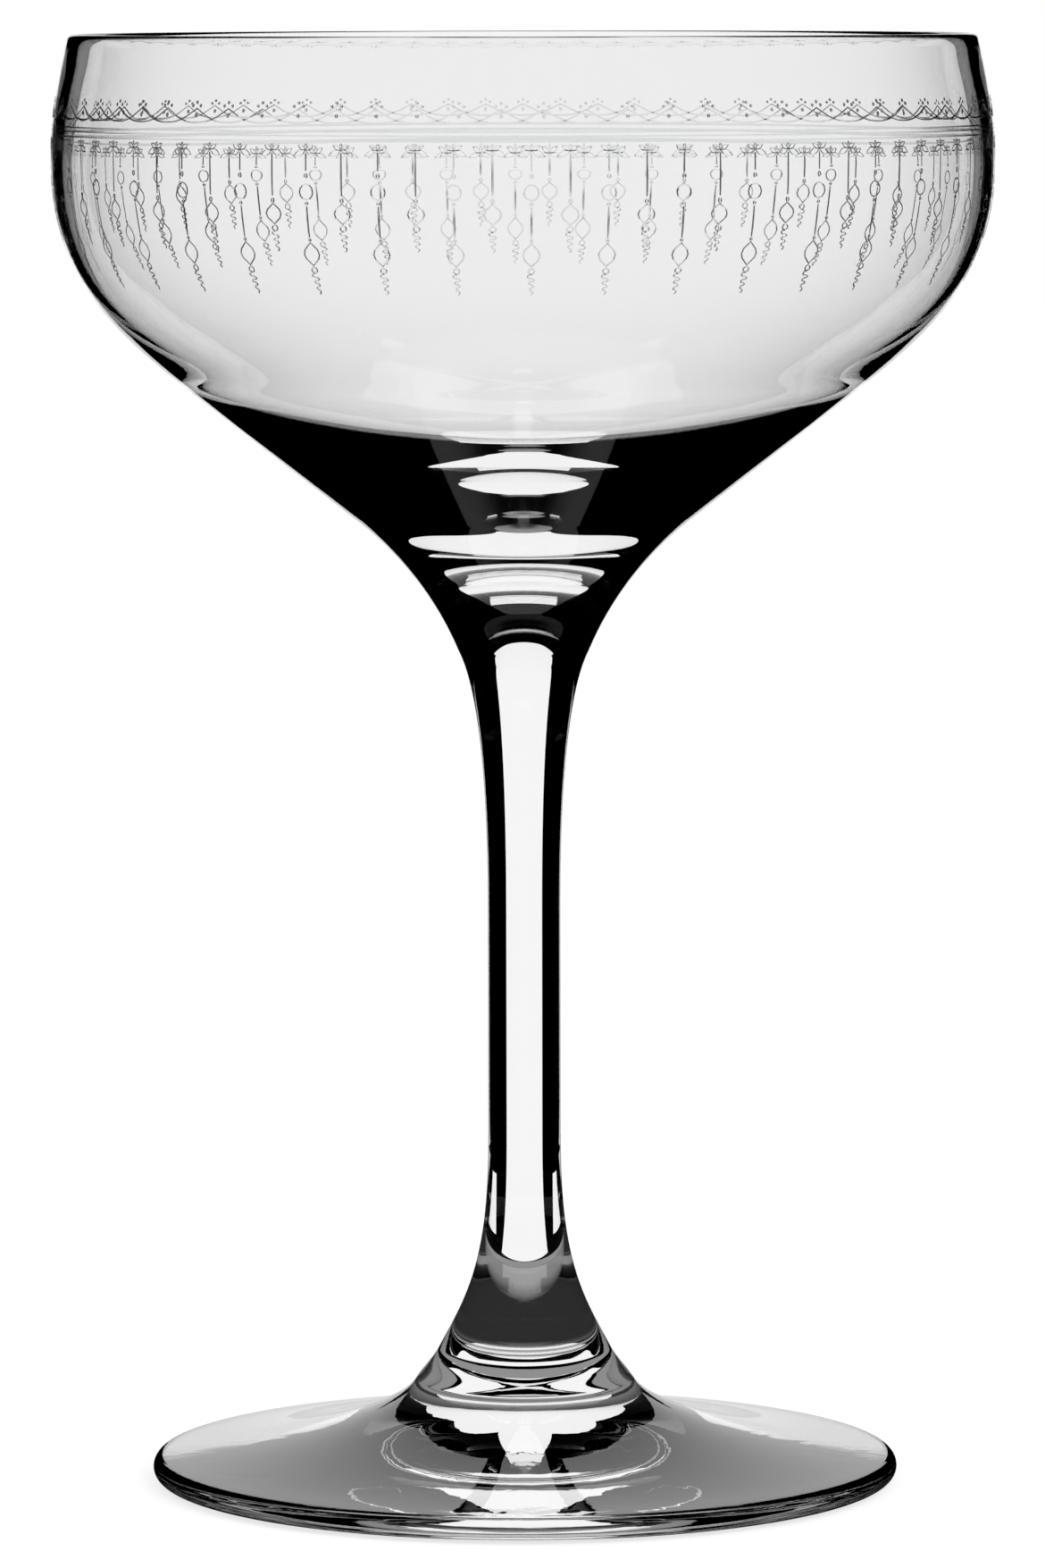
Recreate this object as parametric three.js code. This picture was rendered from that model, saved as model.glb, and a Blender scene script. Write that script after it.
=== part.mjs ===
import * as THREE from 'three';

// A coupe glass of clear glass: a wide bowl, a drawn stem and a round foot, fused end to end.
// Lengths are in millimetres and angles in degrees. The glass stands on z = 0 with its axis on Z.

// Heights, stacked from the table to the rim.
const footRise = 13;
const lowerFlareRise = 21;
const shaftLength = 24;
const upperFlareRise = 25.6;
const neckRise = 13.4;
const coneRise = 13;
const shoulderRise = 22;
const wallRise = 12.4;
const lipRadius = 0.6;

// Radii of the three pieces and of the two fused joints between them.
const footRadius = 37.5;
const footJointRadius = 8.7;
const stemRadius = 3.66;
const neckJointRadius = 6.6;
const bellyRadius = 47;
const rimInset = 1.7;

// The foot's edge, the flat ring that it rests on, and the hollow under its middle.
const footEdgeRadius = 1.2;
const restWidth = 5.2;
const undersideRise = 1.4;

// Glass thickness: at the belly, square to the cone, and of the solid base over the stem joint.
const bellyWall = 1.15;
const coneWall = 2.9;
const baseThickness = 14.4;

// Directions of the outline, measured from the upright.
const footJointLean = 29;
const neckJointLean = 23;
const rimLean = 12;
const innerConeLean = 51.3;
const footEdgeTop = 80;
const footTopLean = 86;

// The cone's two ends, as shares of the belly's radius.
const coneFootShare = 0.366;
const coneTopShare = 0.719;

// How far each bend's two handles reach, as shares of the rise or radius that the bend crosses.
const underHandleShares = [0.4, 0.32];
const footTopHandleShares = [0.9, 0.04];
const lowerFlareHandleShares = [0.25, 0.61];
const upperFlareHandleShares = [0.82, 0.036];
const neckHandleShares = [0.68, 0.064];
const shoulderHandleShares = [0.31, 0.533];
const wallHandleShares = [0.27, 0.66];
const innerWallHandleShares = [0.15, 0.48];
const innerShoulderHandleShares = [0.497, 0.366];
const innerFloorHandleShares = [0.391, 0.189];

// Facets: round the axis, along each bend and along each half of a small round edge.
const aroundCount = 64;
const shortBendSteps = 5;
const bendSteps = 9;
const longBendSteps = 11;
const edgeSteps = 3;

const quarterTurn = 90;
const halfTurn = 180;
const radians = THREE.MathUtils.degToRad;

// A point of a half outline: its distance from the axis and its height.
function at(radius, height) {
  return new THREE.Vector2(radius, height);
}

// The point reached from a start by going some length, leaning some degrees outwards from straight up.
function reach(start, lean, length) {
  const outwards = length * Math.sin(radians(lean));
  const upwards = length * Math.cos(radians(lean));
  return at(start.x + outwards, start.y + upwards);
}

// A smooth bend between two points, pulled by a handle at each end.
function bend(start, startHandle, endHandle, end, steps = bendSteps) {
  return new THREE.CubicBezierCurve(start, startHandle, endHandle, end).getPoints(steps);
}

// An arc about a centre, counted up from one direction to another, both measured from level outwards.
function arc(centre, radius, from, to) {
  const curve = new THREE.EllipseCurve(centre.x, centre.y, radius, radius, radians(from), radians(to));
  return curve.getPoints(edgeSteps);
}

// A round edge about a centre, in two arcs that meet at its crest, so that a corner lies on the crest.
function roundEdge(centre, radius, from, crest, to) {
  return joinStretches([arc(centre, radius, from, crest), arc(centre, radius, crest, to)]);
}

// The lean of the straight line from one point to another.
function leanOf(start, end) {
  return THREE.MathUtils.radToDeg(Math.atan2(end.x - start.x, end.y - start.y));
}

// One outline from stretches that share their end points.
function joinStretches(stretches) {
  const outline = [stretches[0][0]];
  for (const stretch of stretches) {
    outline.push(...stretch.slice(1));
  }
  return outline;
}

// A solid of revolution about Z from an outline that starts and ends on the axis.
function revolve(outline) {
  const solid = new THREE.LatheGeometry(outline, aroundCount);
  solid.rotateX(radians(quarterTurn));
  return solid;
}

// Clear lead-free crystal: nearly white, with a fire-polished skin.
function clearGlass() {
  return new THREE.MeshStandardMaterial({
    color: 0xf1f4f3,
    roughness: 0.03,
    metalness: 0,
    transparent: true,
    opacity: 0.35,
  });
}

// A named piece, standing at its height over the table.
function placePiece(name, outline, height) {
  const piece = new THREE.Mesh(revolve(outline), clearGlass());
  piece.name = name;
  piece.position.z = height;
  return piece;
}

// The foot's underside: hollow in the middle, flat on a ring near the edge.
function footUnderside() {
  const ringOuter = footRadius - footEdgeRadius;
  const ringInner = ringOuter - restWidth;
  const centre = at(0, undersideRise);
  const centreHandle = at(ringInner * underHandleShares[0], undersideRise);
  const ringHandle = at(ringInner * (1 - underHandleShares[1]), 0);
  const hollow = bend(centre, centreHandle, ringHandle, at(ringInner, 0));
  return [...hollow, at(ringOuter, 0)];
}

// The foot's upper side: level at the edge, then climbing ever faster to the joint under the stem.
function footUpperSide(edgeEnd) {
  const edgeLength = (footRadius - footJointRadius) * footTopHandleShares[0];
  const jointLength = footRise * footTopHandleShares[1];
  const joint = at(footJointRadius, footRise);
  const edgeHandle = reach(edgeEnd, -footTopLean, edgeLength);
  const jointHandle = reach(joint, -footJointLean, -jointLength);
  return bend(edgeEnd, edgeHandle, jointHandle, joint, longBendSteps);
}

function footPiece() {
  const edgeCentre = at(footRadius - footEdgeRadius, footEdgeRadius);
  const edge = roundEdge(edgeCentre, footEdgeRadius, -quarterTurn, 0, footEdgeTop);
  const upperSide = footUpperSide(edge[edge.length - 1]);
  const jointFace = [upperSide[upperSide.length - 1], at(0, footRise)];
  return placePiece('foot', joinStretches([footUnderside(), edge, upperSide, jointFace]), 0);
}

// The stem: a slim straight shaft that flares to the foot below and to the bowl above.
function stemPiece() {
  const shaftBottom = at(stemRadius, lowerFlareRise);
  const shaftTop = at(stemRadius, lowerFlareRise + shaftLength);
  const footJoint = at(footJointRadius, 0);
  const neckJoint = at(neckJointRadius, shaftTop.y + upperFlareRise);
  const lowerFlare = bend(
    footJoint,
    reach(footJoint, -footJointLean, lowerFlareRise * lowerFlareHandleShares[0]),
    reach(shaftBottom, 0, -lowerFlareRise * lowerFlareHandleShares[1]),
    shaftBottom,
  );
  const upperFlare = bend(
    shaftTop,
    reach(shaftTop, 0, upperFlareRise * upperFlareHandleShares[0]),
    reach(neckJoint, neckJointLean, -upperFlareRise * upperFlareHandleShares[1]),
    neckJoint,
    longBendSteps,
  );
  const footFace = [at(0, 0), footJoint];
  const shaft = [shaftBottom, shaftTop];
  const neckFace = [neckJoint, at(0, neckJoint.y)];
  return placePiece('stem', joinStretches([footFace, lowerFlare, shaft, upperFlare, neckFace]), footRise);
}

// The corners of the bowl's outside, from the stem joint up to the widest place.
const neckJointCorner = at(neckJointRadius, 0);
const coneFootCorner = at(bellyRadius * coneFootShare, neckRise);
const coneTopCorner = at(bellyRadius * coneTopShare, coneFootCorner.y + coneRise);
const bellyCorner = at(bellyRadius, coneTopCorner.y + shoulderRise);
const coneLean = leanOf(coneFootCorner, coneTopCorner);

// The rounded lip, from the outer wall over the top to the inner wall.
function lipEdge() {
  const centre = at(bellyRadius - rimInset - lipRadius, bellyCorner.y + wallRise);
  return roundEdge(centre, lipRadius, rimLean, quarterTurn, halfTurn);
}

// The bowl's outside: a curved neck, a straight cone, a round shoulder and a wall that leans back in.
function bowlOutside(lipStart) {
  const neck = bend(
    neckJointCorner,
    reach(neckJointCorner, neckJointLean, neckRise * neckHandleShares[0]),
    reach(coneFootCorner, coneLean, -neckRise * neckHandleShares[1]),
    coneFootCorner,
  );
  const shoulder = bend(
    coneTopCorner,
    reach(coneTopCorner, coneLean, shoulderRise * shoulderHandleShares[0]),
    reach(bellyCorner, 0, -shoulderRise * shoulderHandleShares[1]),
    bellyCorner,
  );
  const wall = bend(
    bellyCorner,
    reach(bellyCorner, 0, wallRise * wallHandleShares[0]),
    reach(lipStart, -rimLean, -wallRise * wallHandleShares[1]),
    lipStart,
    shortBendSteps,
  );
  return joinStretches([neck, [coneFootCorner, coneTopCorner], shoulder, wall]);
}

// The bowl's inside: it follows the wall down, then leaves the cone to close over the solid base.
function bowlInside(lipEnd) {
  const belly = at(bellyRadius - bellyWall, bellyCorner.y);
  const shoulderEnd = reach(coneTopCorner, coneLean - quarterTurn, coneWall);
  const floor = at(0, baseThickness);
  const wall = bend(
    lipEnd,
    reach(lipEnd, 0, -wallRise * innerWallHandleShares[0]),
    reach(belly, 0, wallRise * innerWallHandleShares[1]),
    belly,
    shortBendSteps,
  );
  const shoulder = bend(
    belly,
    reach(belly, 0, -shoulderRise * innerShoulderHandleShares[0]),
    reach(shoulderEnd, innerConeLean, shoulderRise * innerShoulderHandleShares[1]),
    shoulderEnd,
  );
  const bottom = bend(
    shoulderEnd,
    reach(shoulderEnd, innerConeLean, -shoulderEnd.x * innerFloorHandleShares[0]),
    at(shoulderEnd.x * innerFloorHandleShares[1], baseThickness),
    floor,
    longBendSteps,
  );
  return joinStretches([wall, shoulder, bottom]);
}

function bowlPiece() {
  const lip = lipEdge();
  const outside = bowlOutside(lip[0]);
  const inside = bowlInside(lip[lip.length - 1]);
  const jointFace = [at(0, 0), neckJointCorner];
  const height = footRise + lowerFlareRise + shaftLength + upperFlareRise;
  return placePiece('bowl', joinStretches([jointFace, outside, lip, inside]), height);
}

const coupe = new THREE.Group();
coupe.name = 'coupe_glass';
coupe.add(footPiece(), stemPiece(), bowlPiece());

export default coupe;
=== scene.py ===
# %% [markdown]
# A coupe is a wide, shallow drinking glass on a slim stem. This one is blown from clear crystal,
# and a fine frosted border is etched round its bowl. The imported CAD model gives the real sizes, so
# it is loaded first as a fixed frame.

# %% Load the frame
import math

import bpy
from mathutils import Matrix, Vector


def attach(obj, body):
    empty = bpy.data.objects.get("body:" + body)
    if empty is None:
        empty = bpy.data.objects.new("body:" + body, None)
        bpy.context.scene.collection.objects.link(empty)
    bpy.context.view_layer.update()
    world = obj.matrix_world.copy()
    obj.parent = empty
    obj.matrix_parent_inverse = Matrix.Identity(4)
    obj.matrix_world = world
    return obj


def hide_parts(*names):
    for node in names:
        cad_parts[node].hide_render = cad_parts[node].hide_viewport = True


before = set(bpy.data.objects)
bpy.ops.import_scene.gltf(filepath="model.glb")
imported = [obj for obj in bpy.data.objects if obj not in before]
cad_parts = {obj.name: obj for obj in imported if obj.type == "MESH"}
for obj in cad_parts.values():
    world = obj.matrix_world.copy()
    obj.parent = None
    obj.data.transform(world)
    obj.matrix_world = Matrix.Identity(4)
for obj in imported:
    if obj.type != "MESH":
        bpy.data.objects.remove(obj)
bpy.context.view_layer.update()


# %% [markdown]
# Every length below is written in millimetres, as a glassmaker would give it, and the scene is in
# metres. Colours are written as sRGB hex values, and shaders want them as linear light, so one
# small function turns one into the other.

# %% Lengths and colours
MM = 0.001


def linear(hex_colour):
    """An sRGB hex colour as the linear RGBA that shaders take."""
    channels = [int(hex_colour[i:i + 2], 16) / 255 for i in (0, 2, 4)]
    mixed = [c / 12.92 if c <= 0.04045 else ((c + 0.055) / 1.055) ** 2.4 for c in channels]
    return (*mixed, 1.0)


print("mid grey as linear light:", linear("808080"))

# %% [markdown]
# The photograph looks slightly down on the glass, which fills most of its height. How round the
# ellipses of the rim and the foot look gives the camera's place: 845 mm away, a little higher than
# the rim, and tilted down by about five degrees. A long lens from there frames the whole glass.

# %% Camera
CAMERA_DISTANCE = 845
CAMERA_HEIGHT = 150.5
CAMERA_TILT_DOWN = 5.4386
CAMERA_ROLL = 0.1
SENSOR_WIDTH = 36
FOCAL_LENGTH = 194.41

bpy.ops.object.camera_add(
    location=(0, -CAMERA_DISTANCE * MM, CAMERA_HEIGHT * MM),
    rotation=(math.radians(90 - CAMERA_TILT_DOWN), math.radians(CAMERA_ROLL), 0),
)
camera = bpy.context.object
camera.name = "studio_camera"
camera.data.sensor_width = SENSOR_WIDTH
camera.data.lens = FOCAL_LENGTH
camera.data.clip_start = 10 * MM
camera.data.dof.use_dof = False
bpy.context.scene.camera = camera
print("camera stands at", tuple(round(value, 4) for value in camera.location))

# %% [markdown]
# A hot-joined glass has no seams: bowl, stem and foot have fused into one body, and light crosses
# only its skin. Three touching solids would show a false mirror at each joint, so the whole glass
# is drawn as one closed outline. The sizes of its outside are those of the CAD model, with one
# place more, the foot of the flare, which moves the top of the foot by up to 0.3 mm. The cone has
# a thinner wall than the CAD model and the base is a little lower, because the light that they
# bend then comes nearer to the photograph.

# %% Sizes of the glass
FOOT_RADIUS = 37.5
FOOT_EDGE_RADIUS = 1.2
FLAT_RING_WIDTH = 5.2
HOLLOW_RISE = 1.4
FLARE_FOOT = (11.1, 9.7)
FOOT_JOINT = (8.7, 13)
STEM_RADIUS = 3.66
SHAFT_BOTTOM = 34
SHAFT_TOP = 58
NECK_JOINT = (6.6, 83.6)
CONE_FOOT = (17.2, 97)
CONE_TOP = (33.8, 110)
CONE_LEAN = 51.9
BELLY_RADIUS = 47
BELLY_HEIGHT = 132
BELLY_WALL = 1.15
LIP_RADIUS = 0.6
LIP_CENTRE = (44.7, 144.4)
INNER_CONE_TOP = (33.06, 110.94)
BOWL_FLOOR = 97.62
print("height of the glass:", LIP_CENTRE[1] + LIP_RADIUS, "mm")

# %% [markdown]
# A curve with handles draws such an outline with few points, as a draughtsman would. Each knot is
# a place, a lean in degrees from straight up, and the reach of its two handles, and a reach of
# zero makes a straight side. On a circle, the handles reach the radius times four thirds of the
# tangent of a quarter of the turn between two knots, so one helper gives the knots of any
# round edge.

# %% Knots of a round edge
def round_knots(centre, radius, directions):
    """Knots of an arc about a centre, at directions measured from level outwards."""
    knots = []
    for index, direction in enumerate(directions):
        before = directions[max(index - 1, 0)]
        after = directions[min(index + 1, len(directions) - 1)]
        angle = math.radians(direction)
        place = (centre[0] + radius * math.cos(angle), centre[1] + radius * math.sin(angle))
        reach_in = radius * 4 / 3 * math.tan(math.radians(direction - before) / 4)
        reach_out = radius * 4 / 3 * math.tan(math.radians(after - direction) / 4)
        knots.append([place, -direction, reach_in, reach_out])
    return knots


print("knots of a quarter circle:", round_knots((0, 0), 1, [0, 90]))

# %% [markdown]
# The edge of the foot is pressed round, and the lip is melted round by the flame, so both are
# arcs. The ends of both arcs then get the lean and the reach of the stretch that they run on into.

# %% The foot's edge and the lip
LEAN, REACH_IN, REACH_OUT = 1, 2, 3
EDGE_CENTRE = (FOOT_RADIUS - FOOT_EDGE_RADIUS, FOOT_EDGE_RADIUS)

foot_edge = round_knots(EDGE_CENTRE, FOOT_EDGE_RADIUS, [-90, 0, 80])
foot_edge[0][REACH_IN] = 0
foot_edge[-1][LEAN] = -86
foot_edge[-1][REACH_OUT] = 11.8
lip = round_knots(LIP_CENTRE, LIP_RADIUS, [12, 90, 180])
lip[0][LEAN] = -12
lip[0][REACH_IN] = 8.37
lip[-1][LEAN] = 180
lip[-1][REACH_OUT] = 1.86
print("knots of the foot's edge and of the lip:", len(foot_edge), len(lip))

# %% [markdown]
# The outline runs from the middle of the underside out to the flat ring, round the foot's edge, up
# the foot and the stem, along the cone and the shoulder to the belly, over the lip, and down the
# inside to the bottom of the bowl. The belly is drawn a hair inside its true radius, so that the
# etched strokes, which stand on it, still end within the CAD model's box.

# %% The outline of the glass
SKIN_INSET = 0.08

outline = [
    [(0, HOLLOW_RISE), 90, 0, 12.4],
    [(EDGE_CENTRE[0] - FLAT_RING_WIDTH, 0), 90, 9.95, 0],
    *foot_edge,
    [FLARE_FOOT, -31.5, 3.6, 1.42],
    [FOOT_JOINT, -27.5, 1.17, 5.28],
    [(STEM_RADIUS, SHAFT_BOTTOM), 0, 12.9, 0],
    [(STEM_RADIUS, SHAFT_TOP), 0, 0, 20.95],
    [NECK_JOINT, 22.9, 0.92, 9.15],
    [CONE_FOOT, CONE_LEAN, 0.86, 0],
    [CONE_TOP, CONE_LEAN, 0, 6.79],
    [(BELLY_RADIUS - SKIN_INSET, BELLY_HEIGHT), 0, 11.73, 3.33],
    *lip,
    [(BELLY_RADIUS - BELLY_WALL, BELLY_HEIGHT), 180, 5.95, 12.75],
    [INNER_CONE_TOP, -129.53, 5.0, 13.72],
    [(0, BOWL_FLOOR), -90, 4.46, 0],
]
print("outline knots:", len(outline))

# %% [markdown]
# The knots become a curve in the plane of X and Z. An operator acts on all that is selected,
# and what was added last still is, so everything is deselected first.

# %% Draw the outline
CURVE_STEPS = 24


def toward(start, lean, length):
    """The point at some length from a start, leaning some degrees outwards from straight up."""
    angle = math.radians(lean)
    return (start[0] + length * math.sin(angle), start[1] + length * math.cos(angle))


def deselect_all():
    """Leaves nothing selected, so that the next operator acts on one piece only."""
    for other in bpy.context.selected_objects:
        other.select_set(False)


deselect_all()
bpy.ops.curve.primitive_bezier_curve_add()
glass = bpy.context.object
glass.name = "coupe_glass_body"
glass.data.resolution_u = CURVE_STEPS
glass.data.splines.clear()
spline = glass.data.splines.new("BEZIER")
spline.bezier_points.add(len(outline) - 1)
for point, (place, lean, reach_in, reach_out) in zip(spline.bezier_points, outline):
    before = toward(place, lean, -reach_in)
    after = toward(place, lean, reach_out)
    point.handle_left_type = "FREE" if reach_in else "VECTOR"
    point.handle_right_type = "FREE" if reach_out else "VECTOR"
    point.co = (place[0] * MM, 0, place[1] * MM)
    point.handle_left = (before[0] * MM, 0, before[1] * MM)
    point.handle_right = (after[0] * MM, 0, after[1] * MM)
print("points of the curve:", len(spline.bezier_points))

# %% [markdown]
# The spin operator works on a mesh, so the curve becomes a chain of edges. Its outer side is kept
# as a list, because the etched border will need the radius of the bowl at each height.

# %% Turn the curve into edges
bpy.ops.object.convert(target="MESH")
outline_points = [(vertex.co.x / MM, vertex.co.z / MM) for vertex in glass.data.vertices]
highest = max(range(len(outline_points)), key=lambda index: outline_points[index][1])
outer_side = outline_points[:highest + 1]
print("outline points:", len(outline_points), "of them outside:", len(outer_side))

# %% [markdown]
# A blown and spun glass is round about one axis, so the edge chain is spun once round Z. The spin
# ends on its own start, so the doubled points there and at both poles are merged, which closes the
# skin, and then all faces are turned outwards. Smooth shading gives the fire-polished look.

# %% Spin the outline
SPIN_STEPS = 192
MERGE_DISTANCE = 0.0005

bpy.ops.object.mode_set(mode="EDIT")
bpy.ops.mesh.select_all(action="SELECT")
bpy.ops.mesh.spin(
    steps=SPIN_STEPS, angle=math.radians(360), center=(0, 0, 0), axis=(0, 0, 1),
)
bpy.ops.mesh.select_all(action="SELECT")
bpy.ops.mesh.remove_doubles(threshold=MERGE_DISTANCE * MM)
bpy.ops.mesh.normals_make_consistent(inside=False)
bpy.ops.object.mode_set(mode="OBJECT")
bpy.ops.object.shade_smooth()
print("faces of the glass:", len(glass.data.polygons))

# %% [markdown]
# Materials are built from shader nodes. One small function adds a node with its settings and its
# links, so that each material below reads as a short list of nodes, and another starts an empty
# material with its output.

# %% Helpers for shader nodes
def add_node(tree, kind, settings=(), inputs=()):
    """A node of a kind, with its settings, and inputs that are values or links from sockets."""
    node = tree.nodes.new(kind)
    for name, value in dict(settings).items():
        setattr(node, name, value)
    for name, value in dict(inputs).items():
        if isinstance(value, bpy.types.NodeSocket):
            tree.links.new(value, node.inputs[name])
        else:
            node.inputs[name].default_value = value
    return node


def empty_material(name):
    """A new material with an output node and nothing else."""
    material = bpy.data.materials.new(name)
    material.use_nodes = True
    tree = material.node_tree
    tree.nodes.clear()
    return material, tree, tree.nodes.new("ShaderNodeOutputMaterial")


print("materials before the glass:", len(bpy.data.materials))

# %% [markdown]
# Where the foot was spun and pressed while soft, its skin keeps very faint swirls. Ripples that low
# would cost many faces as a mesh, so a slow noise only tilts the light a little there, and fades
# out up the stem. It makes the light in the foot waver softly.

# %% Swirls in the foot
SWIRL_SIZE = 9
SWIRL_DEPTH = 0.35
SWIRL_STRENGTH = 0.05
SWIRL_FADE_START = 3
SWIRL_FADE_END = 14

crystal, tree, output = empty_material("clear_blown_crystal")
place = add_node(tree, "ShaderNodeTexCoord")
split = add_node(tree, "ShaderNodeSeparateXYZ", inputs={0: place.outputs["Object"]})
swirl = add_node(tree, "ShaderNodeTexNoise", inputs={
    "Vector": place.outputs["Object"],
    "Scale": 1 / (SWIRL_SIZE * MM),
    "Detail": 1.5,
    "Distortion": 2.5,
})
fade = add_node(tree, "ShaderNodeMapRange", inputs={
    "Value": split.outputs["Z"],
    "From Min": SWIRL_FADE_START * MM,
    "From Max": SWIRL_FADE_END * MM,
    "To Min": SWIRL_STRENGTH,
    "To Max": 0.0,
})
ripple = add_node(tree, "ShaderNodeBump", inputs={
    "Strength": fade.outputs["Result"],
    "Distance": SWIRL_DEPTH * MM,
    "Height": swirl.outputs[0],
})
print("swirls fade out at", SWIRL_FADE_END, "mm")

# %% [markdown]
# The glass is built as lead-free crystal, blown and fire-polished. Its index is 1.52, and its skin
# is as smooth as a liquid's, so it has no roughness. Such glass has no colour of its own to the
# eye, and shows only what it bends and mirrors.

# %% Clear crystal
CRYSTAL_IOR = 1.52

shader = add_node(tree, "ShaderNodeBsdfPrincipled", inputs={
    "Base Color": linear("FFFFFF"),
    "Roughness": 0.0,
    "IOR": CRYSTAL_IOR,
    "Transmission Weight": 1.0,
    "Normal": ripple.outputs["Normal"],
})
tree.links.new(shader.outputs[0], output.inputs["Surface"])
print("material of the glass:", crystal.name)

# %% [markdown]
# The one skin stands for the bowl, the stem and the foot of the CAD model. It rides on the part's
# root, because nothing on a glass moves.

# %% Hand the skin to the frame
glass.data.materials.clear()
glass.data.materials.append(crystal)
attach(glass, "root")
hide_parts("bowl", "stem", "foot")
print("pieces dressed so far:", glass.name)

# %% [markdown]
# The border round the bowl is needle-etched: a pantograph draws hair-thin lines through wax, and
# acid eats them into the glass. It is a common old pattern of scallops over a ribbon of rings,
# with bows and bead drops hanging from it. Each motif is drawn flat first, as strokes in
# millimetres: x runs along the border, and z is the height on the finished glass. Three kinds of
# stroke are enough for all of it.

# %% Strokes of the border
def oval(x, z, half_width, half_height):
    """A closed stroke of four round knots."""
    knots = [(x + half_width, z), (x, z + half_height), (x - half_width, z), (x, z - half_height)]
    return {"knots": knots, "closed": True, "sharp": ()}


def leaf(start, end, fullness):
    """A closed stroke with a sharp tip at each end."""
    middle = ((start[0] + end[0]) / 2, (start[1] + end[1]) / 2)
    side = ((end[1] - start[1]) * fullness, (start[0] - end[0]) * fullness)
    right = (middle[0] + side[0], middle[1] + side[1])
    left = (middle[0] - side[0], middle[1] - side[1])
    return {"knots": [start, right, end, left], "closed": True, "sharp": (0, 2)}


def line(*knots):
    """An open stroke through some knots."""
    return {"knots": list(knots), "closed": False, "sharp": ()}


print("knots of a bead:", oval(0, 0, 1, 1)["knots"])

# %% [markdown]
# A needle draws a stroke as a person would write it, through a few places in turn. So each stroke
# becomes one spline through its knots. Its handles are smooth, but straight at a leaf's
# sharp tips and along a line of two knots.

# %% Lay one stroke
def add_stroke(drawing, stroke):
    """One spline along the knots of a stroke."""
    spline = drawing.data.splines.new("BEZIER")
    spline.bezier_points.add(len(stroke["knots"]) - 1)
    spline.use_cyclic_u = stroke["closed"]
    straight = len(stroke["knots"]) == 2
    for index, (point, (x, z)) in enumerate(zip(spline.bezier_points, stroke["knots"])):
        point.co = (x * MM, 0, z * MM)
        kind = "VECTOR" if straight or index in stroke["sharp"] else "AUTO"
        point.handle_left_type = kind
        point.handle_right_type = kind


print("sharp knots of a leaf:", leaf((0, 0), (1, 0), 1)["sharp"])

# %% [markdown]
# A curve with a bevel turns into a thin tube, which is the quickest way to give many strokes the
# same width. Four sides round the tube are enough, and keep the faces few: once its back has been
# pressed flat on the glass, two slopes are left at the front.

# %% Draw strokes as thin tubes
LINE_WIDTH = 0.18
STROKE_STEPS = 3


def draw_strokes(name, strokes, width=LINE_WIDTH):
    """A mesh of thin closed tubes along the strokes, drawn flat in front of the origin."""
    deselect_all()
    bpy.ops.curve.primitive_bezier_curve_add()
    drawing = bpy.context.object
    drawing.name = name
    drawing.data.resolution_u = STROKE_STEPS
    drawing.data.bevel_depth = width / 2 * MM
    drawing.data.bevel_resolution = 0
    drawing.data.use_fill_caps = True
    drawing.data.splines.clear()
    for stroke in strokes:
        add_stroke(drawing, stroke)
    bpy.ops.object.convert(target="MESH")
    bpy.ops.object.mode_set(mode="EDIT")
    bpy.ops.mesh.select_all(action="SELECT")
    bpy.ops.mesh.remove_doubles(threshold=MERGE_DISTANCE * MM)
    bpy.ops.mesh.normals_make_consistent(inside=False)
    bpy.ops.object.mode_set(mode="OBJECT")
    return drawing


print("width of an etched line:", LINE_WIDTH, "mm")

# %% [markdown]
# A pantograph repeats its motif at even steps round the bowl, so each motif is drawn once and an
# Array modifier sets its copies side by side. The steps are measured round the bowl's widest place.

# %% Repeat a motif
UNROLLED_RADIUS = BELLY_RADIUS


def pitch_of(count):
    """The step from one copy to the next, for some copies round the bowl."""
    return 2 * math.pi * UNROLLED_RADIUS / count


def repeat(drawing, count):
    """Copies side by side, enough to go once round the bowl."""
    bpy.ops.object.modifier_add(type="ARRAY")
    copies = drawing.modifiers[-1]
    copies.count = count
    copies.use_relative_offset = False
    copies.use_constant_offset = True
    copies.constant_offset_displace = (pitch_of(count) * MM, 0, 0)
    bpy.ops.object.modifier_apply(modifier=copies.name)
    print(drawing.name, "repeats:", count, "faces:", len(drawing.data.polygons))


print("way round the bowl:", round(pitch_of(1), 1), "mm")

# %% [markdown]
# Seventy-three scallops go round under the rim. Each arc hangs over two pitches, so that it
# crosses its neighbours, and it has one bead close over its lowest point and three more above.

# %% Scallops
SCALLOP_COUNT = 73
SCALLOP_TOP = 138.15
SCALLOP_SHOULDER = 137.12
SCALLOP_BOTTOM = 136.84
INNER_BEAD = (0, 137.52)
INNER_BEAD_HALF_SIZE = (0.1, 0.16)
OUTER_BEADS = [(-0.5, 138.42), (0.5, 138.42), (0, 138.74)]
OUTER_BEAD_HALF_SIZE = (0.08, 0.1)

pitch = pitch_of(SCALLOP_COUNT)
arc = line(
    (-pitch, SCALLOP_TOP),
    (-0.5 * pitch, SCALLOP_SHOULDER),
    (0, SCALLOP_BOTTOM),
    (0.5 * pitch, SCALLOP_SHOULDER),
    (pitch, SCALLOP_TOP),
)
beads = [oval(*INNER_BEAD, *INNER_BEAD_HALF_SIZE)]
beads += [oval(*place, *OUTER_BEAD_HALF_SIZE) for place in OUTER_BEADS]
scallops = draw_strokes("etched_scallops", [arc, *beads])
repeat(scallops, SCALLOP_COUNT)

# %% [markdown]
# Eighty bows hang under the ribbon, one for each drop. A bow is four leaves tied at a knot, two
# drooping and two raised, with a bead on top. Its lines are finer than those of the rest, because
# its leaves are small and would run together. Each leaf is written as how far its tip reaches to
# the side, the height of the tip, and how full the leaf is.

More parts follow.
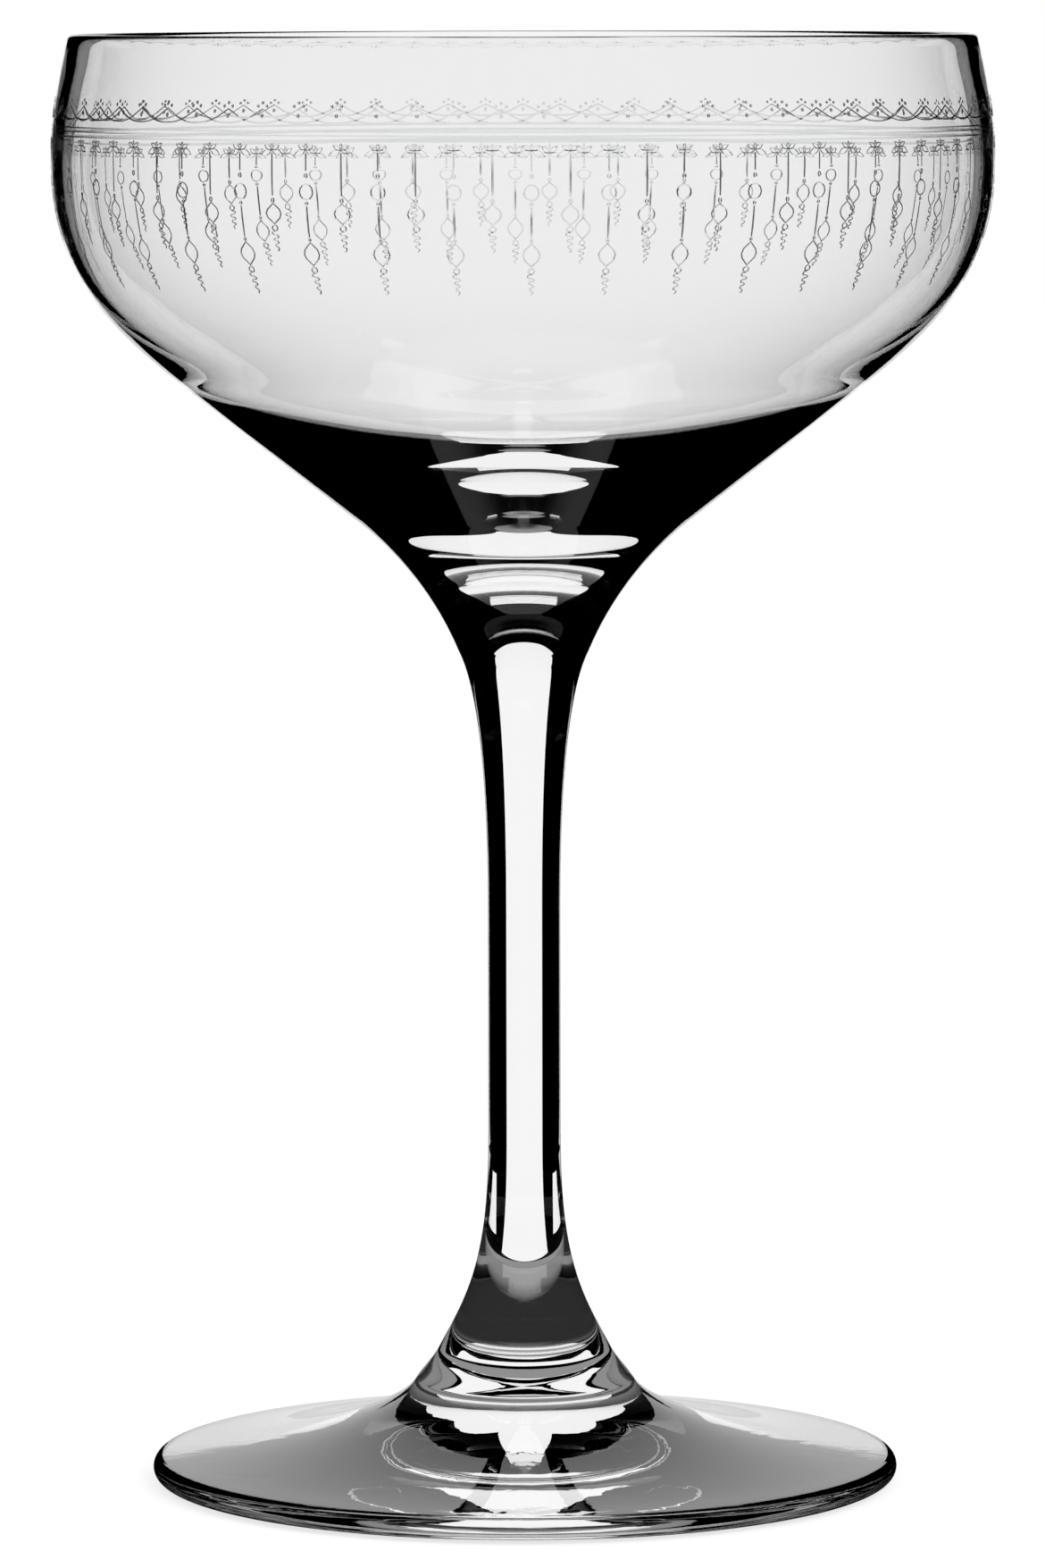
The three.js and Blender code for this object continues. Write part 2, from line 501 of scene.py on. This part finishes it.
# %% Bows
DROP_COUNT = 80
BOW_LINE_WIDTH = 0.13
BOW_KNOT_HEIGHT = 134.32
BOW_LEAVES = [(1.25, 133.78, 0.2), (0.8, 134.78, 0.22)]
BOW_BEAD = (134.8, 0.1, 0.12)


def bow(x):
    """Four leaves tied at a knot, with a bead on top."""
    knot = (x, BOW_KNOT_HEIGHT)
    leaves = []
    for reach, height, fullness in BOW_LEAVES:
        leaves += [leaf(knot, (x + side * reach, height), fullness) for side in (-1, 1)]
    return leaves + [oval(x, *BOW_BEAD)]


bows = draw_strokes("etched_bows", bow(0), width=BOW_LINE_WIDTH)
repeat(bows, DROP_COUNT)

# %% [markdown]
# Every drop ends in a curl, a twisted thread seen from the side: a small loop, and under it a wave
# that narrows as it falls.

# %% A curl
CURL_TURNS = 7
CURL_SWAY = 0.42
CURL_NARROWING = 0.75
CURL_NECK = 0.55
LOOP_DEPTH = 0.3
LOOP_HALF_WIDTH = 0.3
LOOP_HALF_HEIGHT = 0.26


def curl(x, top, bottom):
    """A loop, then a wave that narrows as it falls."""
    start = top - CURL_NECK
    wave = [(x, start)]
    for index in range(1, CURL_TURNS):
        share = index / CURL_TURNS
        sway = CURL_SWAY * (1 - CURL_NARROWING * share) * (-1) ** index
        wave.append((x + sway, start + (bottom - start) * share))
    wave.append((x, bottom))
    return [oval(x, top - LOOP_DEPTH, LOOP_HALF_WIDTH, LOOP_HALF_HEIGHT), line(*wave)]


print("strokes of a curl:", len(curl(0, 1, -1)))

# %% [markdown]
# The drops are long and short by turns. Each is written as the heights of its parts: the two ends
# of each stem, the middle of each bead with its half width and half height, the two ends of the
# open eye with its fullness, and the two ends of the curl.

# %% Drops
DROP_TOP = 134.05
LONG_DROP = {
    "stems": [(DROP_TOP, 132.37), (129.0, 126.05)],
    "beads": [(131.9, 0.14, 0.2), (130.35, 0.7, 0.74), (129.27, 0.12, 0.12), (125.8, 0.1, 0.12)],
    "eye": (125.55, 123.33, 0.37),
    "curl": (123.2, 120.6),
}
SHORT_DROP = {
    "stems": [(DROP_TOP, 130.0)],
    "beads": [(129.55, 0.14, 0.2)],
    "eye": (129.25, 127.3, 0.42),
    "curl": (127.2, 124.7),
}


def drop(x, parts):
    """The strokes of one drop, from the heights of its parts."""
    strokes = [line((x, top), (x, bottom)) for top, bottom in parts["stems"]]
    strokes += [oval(x, *bead) for bead in parts["beads"]]
    eye_top, eye_bottom, fullness = parts["eye"]
    strokes.append(leaf((x, eye_top), (x, eye_bottom), fullness))
    return strokes + curl(x, *parts["curl"])


long_drops = draw_strokes("etched_long_drops", drop(0, LONG_DROP))
repeat(long_drops, DROP_COUNT // 2)
short_drops = draw_strokes("etched_short_drops", drop(-pitch_of(DROP_COUNT), SHORT_DROP))
repeat(short_drops, DROP_COUNT // 2)

# %% [markdown]
# The flat drawings are now rolled round the bowl. A place along the border turns into an angle,
# a height finds its radius on the glass's own outline, and each stroke keeps a flat side towards
# the glass and two shallow slopes outwards. They bend light as the slopes of an etched line do:
# little where the wall is seen square on, and out of the bright panel where it turns away.

# %% Roll the border round the bowl
STROKE_SLOPE = 0.53
STROKE_GAP = 0.012
SCALLOP_TURN = -2.5
DROP_TURN = 1.0


def wall_radius(z):
    """The outside radius of the glass at a height, from its outline."""
    for (below, low), (above, high) in zip(outer_side, outer_side[1:]):
        if low <= z < high:
            return below + (above - below) * (z - low) / (high - low)


def roll(drawing, turn):
    """Bends a flat drawing onto the bowl, with its middle turned some degrees from the front."""
    for vertex in drawing.data.vertices:
        x, y, z = (value / MM for value in vertex.co)
        angle = x / UNROLLED_RADIUS + math.radians(turn)
        radius = wall_radius(z) + STROKE_GAP + max(-y, 0) * STROKE_SLOPE
        vertex.co = (radius * math.sin(angle) * MM, -radius * math.cos(angle) * MM, z * MM)


roll(scallops, SCALLOP_TURN)
for drawing in (bows, long_drops, short_drops):
    roll(drawing, DROP_TURN)
print("radius of the bowl at the scallops:", round(wall_radius(138), 2), "mm")

# %% [markdown]
# Three hairline rings tie the scallops to the drops. Each is a thin ring round the bowl, pressed
# flat towards the glass like the other strokes but with gentler slopes, and the three are joined
# into one piece.

# %% Rings
RING_WIDTH = 0.16
RING_SLOPE = 0.3
RING_HEIGHTS = (136.05, 135.65, 135.15)


def etched_ring(height):
    """A thin ring at a height, flat towards the glass."""
    ring_radius = (wall_radius(height) + STROKE_GAP) * MM
    bpy.ops.mesh.primitive_torus_add(
        major_radius=ring_radius, minor_radius=RING_WIDTH / 2 * MM,
        major_segments=SPIN_STEPS, minor_segments=4, location=(0, 0, height * MM),
    )
    bpy.ops.object.transform_apply(location=True, rotation=True, scale=True)
    ring = bpy.context.object
    for vertex in ring.data.vertices:
        reach = math.hypot(vertex.co.x, vertex.co.y)
        pressed = ring_radius + max(reach - ring_radius, 0) * RING_SLOPE
        vertex.co.x *= pressed / reach
        vertex.co.y *= pressed / reach
    return ring


deselect_all()
ring_pieces = [etched_ring(height) for height in RING_HEIGHTS]
for ring in ring_pieces:
    ring.select_set(True)
bpy.ops.object.join()
rings = bpy.context.object
rings.name = "etched_rings"
print(rings.name, "faces:", len(rings.data.polygons))

# %% [markdown]
# Acid leaves the strokes frosted: still clear glass inside, but with a grain so fine that light
# scatters a little on its way through, which gives the eye a soft pale line on the clear wall. The
# real grain is too fine to show, so it is drawn 0.4 mm wide, and it makes some stretches of a line
# a little duller than others.

# %% Frosted glass
GRAIN_SIZE = 0.4
CLEAREST_ROUGHNESS = 0.04
DULLEST_ROUGHNESS = 0.16

frosting, tree, output = empty_material("acid_etched_glass")
place = add_node(tree, "ShaderNodeTexCoord")
grain = add_node(tree, "ShaderNodeTexNoise", inputs={
    "Vector": place.outputs["Object"],
    "Scale": 1 / (GRAIN_SIZE * MM),
    "Detail": 2.0,
})
matting = add_node(tree, "ShaderNodeMapRange", inputs={
    "Value": grain.outputs[0],
    "From Min": 0.3,
    "From Max": 0.7,
    "To Min": CLEAREST_ROUGHNESS,
    "To Max": DULLEST_ROUGHNESS,
})
shader = add_node(tree, "ShaderNodeBsdfPrincipled", inputs={
    "Base Color": linear("F2F4F3"),
    "Roughness": matting.outputs["Result"],
    "IOR": CRYSTAL_IOR,
    "Transmission Weight": 1.0,
})
tree.links.new(shader.outputs[0], output.inputs["Surface"])
print("material of the border:", frosting.name)

# %% [markdown]
# Every drawing gets the frosting and rides on the part's root with the glass. Flat shading keeps
# the two slopes of a stroke apart, which is what makes the line show.

# %% Frost the border
for drawing in (scallops, bows, long_drops, short_drops, rings):
    deselect_all()
    drawing.select_set(True)
    bpy.context.view_layer.objects.active = drawing
    bpy.ops.object.shade_flat()
    drawing.data.materials.clear()
    drawing.data.materials.append(frosting)
    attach(drawing, "root")
    print("frosted:", drawing.name)

# %% [markdown]
# Clear glass is photographed by what it bends towards the lens, so the studio matters as much as
# the object. Bright cards stand round the glass with dark between them, which draws its edges in
# black. The camera itself sees white all round, and only light from the glass meets the cards.
# They are of three kinds, by the light that they shine for. A bent card shines for all light that
# has come out through the glass. A straight one shines only for such light that wasn't mirrored
# on its way, and a mirrored one for light that the skin has thrown back. The glossy depth counts
# how often light was mirrored, so it is under a half only before the first time.

# %% Cards that only the glass sees
PAPER_WHITE = linear("FFFFFF")
BEFORE_FIRST_MIRRORING = 0.5


def stage_card(name, size, location, rotation, strength, seen):
    """A flat bright card that shines for one kind of light: bent, straight or mirrored."""
    bpy.ops.mesh.primitive_plane_add(size=1, location=location, rotation=rotation)
    card = bpy.context.object
    card.name = name
    card.scale = (size[0] * MM, size[1] * MM, 1)
    material, card_tree, card_output = empty_material("card_" + name)
    light = add_node(card_tree, "ShaderNodeEmission", inputs={
        "Color": PAPER_WHITE, "Strength": strength,
    })
    if seen == "straight":
        light_path = add_node(card_tree, "ShaderNodeLightPath")
        direct = add_node(card_tree, "ShaderNodeMath", {"operation": "LESS_THAN"}, {
            0: light_path.outputs["Glossy Depth"], 1: BEFORE_FIRST_MIRRORING,
        })
        card_tree.links.new(direct.outputs[0], light.inputs["Strength"])
    card_tree.links.new(light.outputs[0], card_output.inputs["Surface"])
    card.data.materials.append(material)
    card.visible_camera = False
    card.visible_diffuse = False
    card.visible_glossy = seen == "mirrored"
    card.visible_transmission = seen != "mirrored"
    card.visible_shadow = False
    return card


print("materials before the cards:", len(bpy.data.materials))

# %% [markdown]
# Every card either stands upright or lies level, turned squarely to the glass. So two helpers place
# them by what a photographer would measure: the turn round the glass, distances from it, and
# heights.

# %% Place a card
PANEL_DISTANCE = 250


def outward(turn):
    """The level direction from the glass, turned some degrees from straight behind it."""
    angle = math.radians(turn)
    return Vector((-math.sin(angle), math.cos(angle), 0))


def level_card(name, turn, start, end, half_width, height, strength, seen):
    """A level card that starts and ends at some distances from the glass, at some height."""
    place = (outward(turn) * (start + end) / 2 + Vector((0, 0, height))) * MM
    rotation = (0, 0, math.radians(turn))
    return stage_card(name, (2 * half_width, end - start), place, rotation, strength, seen)


def upright_card(name, turn, low, high, half_width, seen):
    """An upright card at the panels' distance from the glass, between two heights."""
    place = (outward(turn) * PANEL_DISTANCE + Vector((0, 0, (low + high) / 2))) * MM
    rotation = (math.radians(90), 0, math.radians(turn))
    return stage_card(name, (2 * half_width, high - low), place, rotation, 1.0, seen)


print("panels stand", PANEL_DISTANCE, "mm from the glass")

# %% [markdown]
# The main panel stands behind the glass, and a level sill runs from under it towards the foot and
# narrows on the way. A panel of the same size, with a shorter sill, stands at each of the other
# three sides, so that the glass is clear from there too. Those shine only straight through, so
# that the glass keeps its black edges as seen from the front.

# %% Panels and sills
PANEL_HALF_WIDTH = 94.5
PANEL_TOP = 240
SILL_START = 46
SILL_START_HALF_WIDTH = 17.5
SIDE_SILL_START = 200

for turn in (0, 90, 180, 270):
    seen = "straight" if turn else "bent"
    start = SIDE_SILL_START if turn else SILL_START
    upright_card(f"panel_{turn}", turn, 0, PANEL_TOP, PANEL_HALF_WIDTH, seen)
    sill = level_card(f"sill_{turn}", turn, start, PANEL_DISTANCE, PANEL_HALF_WIDTH, 0, 1.0, seen)
    if turn == 0:
        for vertex in sill.data.vertices:
            if vertex.co.y < 0:
                vertex.co.x *= SILL_START_HALF_WIDTH / PANEL_HALF_WIDTH
    print("panel and sill at", turn, "degrees, kind:", seen)

# %% [markdown]
# Seen from a corner and from above, the bowl shows the ground beyond the glass, so an apron lies
# there in each of the four diagonal directions. The two at the front lie on the ground. The two
# behind lie far below it, because light that falls steeply still meets them there, while the level
# light at the edges of the stem mostly passes over them and leaves those edges black.

# %% Aprons
APRON_STRENGTH = 0.9
BACK_APRON = {"start": 430, "end": 900, "half_width": 85, "height": -150}
FRONT_APRON = {"start": 60, "end": 900, "half_width": 180, "height": -0.1}
APRONS = {45: BACK_APRON, 315: BACK_APRON, 135: FRONT_APRON, 225: FRONT_APRON}

for turn, apron in APRONS.items():
    level_card(f"apron_{turn}", turn, **apron, strength=APRON_STRENGTH, seen="straight")
    print("apron at", turn, "degrees, from", apron["start"], "to", apron["end"], "mm")

# %% [markdown]
# The skin also mirrors the studio faintly. What it mirrors is a narrower panel near the ground,
# one as wide as the main panel above it, and a sill before both.

# %% Mirrored cards
MIRROR_BANDS = [(0, 60, 62), (60, PANEL_TOP, PANEL_HALF_WIDTH)]
MIRROR_SILL_START = 48
MIRROR_SILL_HALF_WIDTH = 40
MIRROR_SILL_STRENGTH = 0.8

for low, high, half_width in MIRROR_BANDS:
    upright_card(f"mirrored_panel_{low}", 0, low, high, half_width, "mirrored")
level_card("mirrored_sill", 0, MIRROR_SILL_START, PANEL_DISTANCE, MIRROR_SILL_HALF_WIDTH, 0,
           MIRROR_SILL_STRENGTH, "mirrored")
print("mirrored bands:", len(MIRROR_BANDS))

# %% [markdown]
# Two more cards hang level behind the glass. The canopy is high up, and the solid base of the bowl
# bends it into the lowest of its bright bands. The shelf is lower and nearer, and the foot bends
# it into the stem of its white T.

# %% Canopy and shelf
CANOPY_HEIGHT = 420
CANOPY_START = 120
CANOPY_STRENGTH = 0.85
SHELF_HEIGHT = 120
SHELF_START = 69
SHELF_END = 124
SHELF_HALF_WIDTH = 20

level_card("canopy", 0, CANOPY_START, PANEL_DISTANCE, PANEL_HALF_WIDTH, CANOPY_HEIGHT,
           CANOPY_STRENGTH, "bent")
level_card("shelf", 0, SHELF_START, SHELF_END, SHELF_HALF_WIDTH, SHELF_HEIGHT, 1.0, "bent")
print("canopy and shelf hang at", CANOPY_HEIGHT, "and", SHELF_HEIGHT, "mm")

# %% [markdown]
# Under the foot the glass shades its own ground, so what shows through the foot is grey: nearly
# black under the stem and mid grey towards the edge. A round card just under the glass stands in
# for that ground as a painted shadow, and like the other cards it is seen only through the glass.

# %% Painted shadow under the foot
POOL_RADIUS = 46
POOL_SIDES = 96
POOL_DEPTH = 0.2

bpy.ops.mesh.primitive_circle_add(
    vertices=POOL_SIDES, radius=POOL_RADIUS * MM, fill_type="NGON",
    location=(0, 0, -POOL_DEPTH * MM),
)
pool = bpy.context.object
pool.name = "painted_shadow_pool"
pool.visible_camera = False
pool.visible_diffuse = False
pool.visible_glossy = False
pool.visible_shadow = False
print("pool radius:", POOL_RADIUS, "mm")

# %% [markdown]
# The pool's painted shadow grows paler smoothly with the distance from the axis, from the dark
# under the stem to the grey near the edge of the foot, as a soft shadow does.

# %% Painted shade of the pool
POOL_DARK_RADIUS = 12
POOL_PALE_RADIUS = 30
POOL_DARK = 0.028
POOL_PALE = 0.3

material, pool_tree, pool_output = empty_material("card_painted_shadow_pool")
place = add_node(pool_tree, "ShaderNodeTexCoord")
away = add_node(pool_tree, "ShaderNodeVectorMath", {"operation": "LENGTH"},
                {0: place.outputs["Object"]})
shade = add_node(pool_tree, "ShaderNodeMapRange", {"interpolation_type": "SMOOTHSTEP"}, {
    "Value": away.outputs["Value"],
    "From Min": POOL_DARK_RADIUS * MM,
    "From Max": POOL_PALE_RADIUS * MM,
    "To Min": POOL_DARK,
    "To Max": POOL_PALE,
})
# The card glows with this painted shade: nearly black under the stem, grey towards the foot's edge.
light = add_node(pool_tree, "ShaderNodeEmission", inputs={
    "Color": PAPER_WHITE, "Strength": shade.outputs["Result"],
})
pool_tree.links.new(light.outputs[0], pool_output.inputs["Surface"])
pool.data.materials.append(material)
print("pool strength:", POOL_DARK, "to", POOL_PALE)

# %% [markdown]
# The glass stands on white paper. Seven tenths of the paper's look is its own glow, so that it
# stays white right across the picture, and three tenths are matt, which takes the soft shadow of
# the glass. Light from the glass doesn't meet the paper, because the cards stand in for it there.

# %% Floor
FLOOR_SIZE = 6000
FLOOR_DEPTH = 0.3
MATT_SHARE = 0.3
GLOW_STRENGTH = 1.05

bpy.ops.mesh.primitive_plane_add(size=FLOOR_SIZE * MM, location=(0, 0, -FLOOR_DEPTH * MM))
floor = bpy.context.object
floor.name = "white_floor"
paper, tree, output = empty_material("white_paper_sweep")
matt = add_node(tree, "ShaderNodeBsdfDiffuse", inputs={"Color": linear("F4F4F4")})
glow = add_node(tree, "ShaderNodeEmission", inputs={
    "Color": PAPER_WHITE, "Strength": GLOW_STRENGTH,
})
blend = add_node(tree, "ShaderNodeMixShader", inputs={
    "Fac": MATT_SHARE, 1: glow.outputs[0], 2: matt.outputs[0],
})
tree.links.new(blend.outputs[0], output.inputs["Surface"])
floor.data.materials.append(paper)
floor.visible_glossy = False
floor.visible_transmission = False
print("floor is", FLOOR_SIZE, "mm wide")

# %% [markdown]
# A large soft lamp, high at the camera's right, casts the shadow. It isn't seen in the glass, which
# takes its highlights from the cards alone.

# %% Lamp
LAMP_PLACE = Vector((500, -600, 900))
LAMP_AIM = Vector((0, 0, 70))
LAMP_SIZE = 900
LAMP_WATTS = 6

bpy.ops.object.light_add(type="AREA", location=LAMP_PLACE * MM)
lamp = bpy.context.object
lamp.data.shape = "SQUARE"
lamp.data.size = LAMP_SIZE * MM
lamp.data.energy = LAMP_WATTS
lamp.rotation_euler = (LAMP_AIM * MM - lamp.location).to_track_quat("-Z", "Y").to_euler()
lamp.visible_glossy = False
lamp.visible_transmission = False
print("lamp of", LAMP_WATTS, "watts")

# %% [markdown]
# The world is white for the camera and for the light that falls on the paper, and dark for all
# light from the glass. That gives the white ground of the photograph and leaves the glass to the
# cards. The Standard view keeps that white as white.

# %% World
world = bpy.data.worlds.new("studio_white")
bpy.context.scene.world = world
world.use_nodes = True
tree = world.node_tree
tree.nodes.clear()
output = tree.nodes.new("ShaderNodeOutputWorld")
path = add_node(tree, "ShaderNodeLightPath")
seen_white = add_node(tree, "ShaderNodeMath", {"operation": "MAXIMUM"},
                      {0: path.outputs["Is Camera Ray"], 1: path.outputs["Is Diffuse Ray"]})
sky = add_node(tree, "ShaderNodeBackground", inputs={
    "Color": PAPER_WHITE, "Strength": seen_white.outputs[0],
})
tree.links.new(sky.outputs[0], output.inputs["Surface"])
bpy.context.scene.view_settings.view_transform = "Standard"
print("world:", world.name)

# %% [markdown]
# The finished glass has to fill the same box as the CAD model and never reach past it.

# %% [markdown]
# A glass has no moving part, so the body and its border all ride together on the root.

# %% The finished glass
print("handing over:", glass.name, "and its border")
